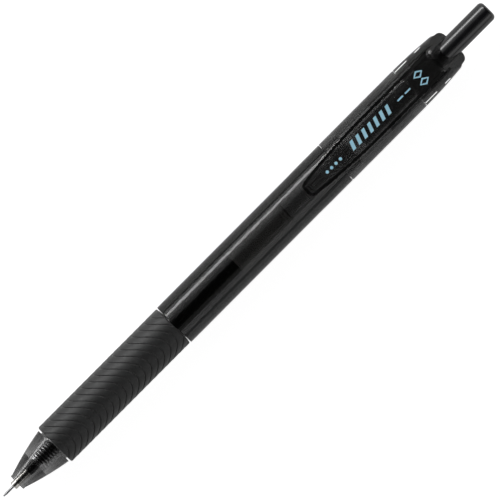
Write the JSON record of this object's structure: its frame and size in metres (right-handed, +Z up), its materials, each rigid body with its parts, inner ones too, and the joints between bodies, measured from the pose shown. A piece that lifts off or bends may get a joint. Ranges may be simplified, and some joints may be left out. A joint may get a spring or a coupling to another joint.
{
  "type": "retractable gel pen",
  "caption": "Retractable gel pen with a needle tip, a clear smoky barrel, a ribbed rubber grip, a pocket clip and a push button.",
  "frame": {"origin": "on the surface that the pen lies on, under the middle of its length and width", "axes": "+X along the pen from its writing tip to its button, +Z up through the pocket clip, +Y across the pen"},
  "size_m": [0.145, 0.0104, 0.0126],
  "materials": {
    "clear_smoke": "clear smoky plastic, gloss",
    "tail_smoke": "clear smoky plastic, gloss",
    "crown_smoke": "clear dark smoky plastic, gloss",
    "clip_plastic": "see-through black plastic, satin gloss",
    "grip_rubber": "soft matte rubber",
    "button_plastic": "gloss black plastic",
    "mechanism_plastic": "dark self-lubricating plastic",
    "cam_plastic": "white self-lubricating plastic",
    "refill_plastic": "clear soft plastic tube",
    "nose_plastic": "black plastic",
    "spring_steel": "bright drawn wire",
    "tip_steel": "polished stainless steel",
    "ball_carbide": "ground hard metal",
    "ink": "black gel ink",
    "follower": "clear grease"
  },
  "bodies": {
    "barrel": {"rear_barrel": "clear_smoke", "tail_sleeve": "tail_smoke", "crown": "crown_smoke", "cam_sleeve": "mechanism_plastic"},
    "clip": {"pocket_clip": "clip_plastic"},
    "button": {"push_button": "button_plastic", "button_plunger": "mechanism_plastic"},
    "cam": {"cam_rotor": "cam_plastic"},
    "spring": {"return_spring": "spring_steel"},
    "front": {"front_barrel": "clear_smoke", "rubber_grip": "grip_rubber"},
    "refill": {"refill_tube": "refill_plastic", "refill_nose": "nose_plastic", "needle_holder": "tip_steel", "needle_tube": "tip_steel", "writing_ball": "ball_carbide", "ball_spring": "spring_steel", "ink_column": "ink", "ink_follower": "follower", "refill_end_plug": "mechanism_plastic"}
  },
  "joints": [
    {"name": "button_press", "type": "slide", "parent": "barrel", "child": "button", "axis": [-1, 0, 0], "range_m": [-0.005, 0.0012], "deforming": ["return_spring"]},
    {"name": "cam_turn", "type": "hinge", "parent": "button", "child": "cam", "pos_m": [0.0405, 0, 0.0052], "axis": [1, 0, 0], "range_deg": [-11, 46]},
    {"name": "clip_flex", "type": "hinge", "parent": "barrel", "child": "clip", "pos_m": [0.0561, 0, 0.0096], "axis": [0, 1, 0], "range_deg": [0, 3.5], "stiffness_Nm_per_rad": 0.8},
    {"name": "front_travel", "type": "slide", "parent": "barrel", "child": "spring", "axis": [-1, 0, 0], "range_m": [0, 0.0048]},
    {"name": "front_turn", "type": "hinge", "parent": "spring", "child": "front", "pos_m": [-0.0395, 0, 0.0052], "axis": [-1, 0, 0], "range_deg": [-5, 1445]},
    {"name": "refill_slide", "type": "slide", "parent": "spring", "child": "refill", "axis": [-1, 0, 0], "range_m": [-0.0051, 0.0013]}
  ],
  "couplings": [
    {"joint": "refill_slide", "follows": "button_press", "ratio": 1},
    {"joint": "cam_turn", "follows": "button_press", "rad_per_m": -157.08},
    {"joint": "front_turn", "follows": "front_travel", "rad_per_m": 5236}
  ]
}
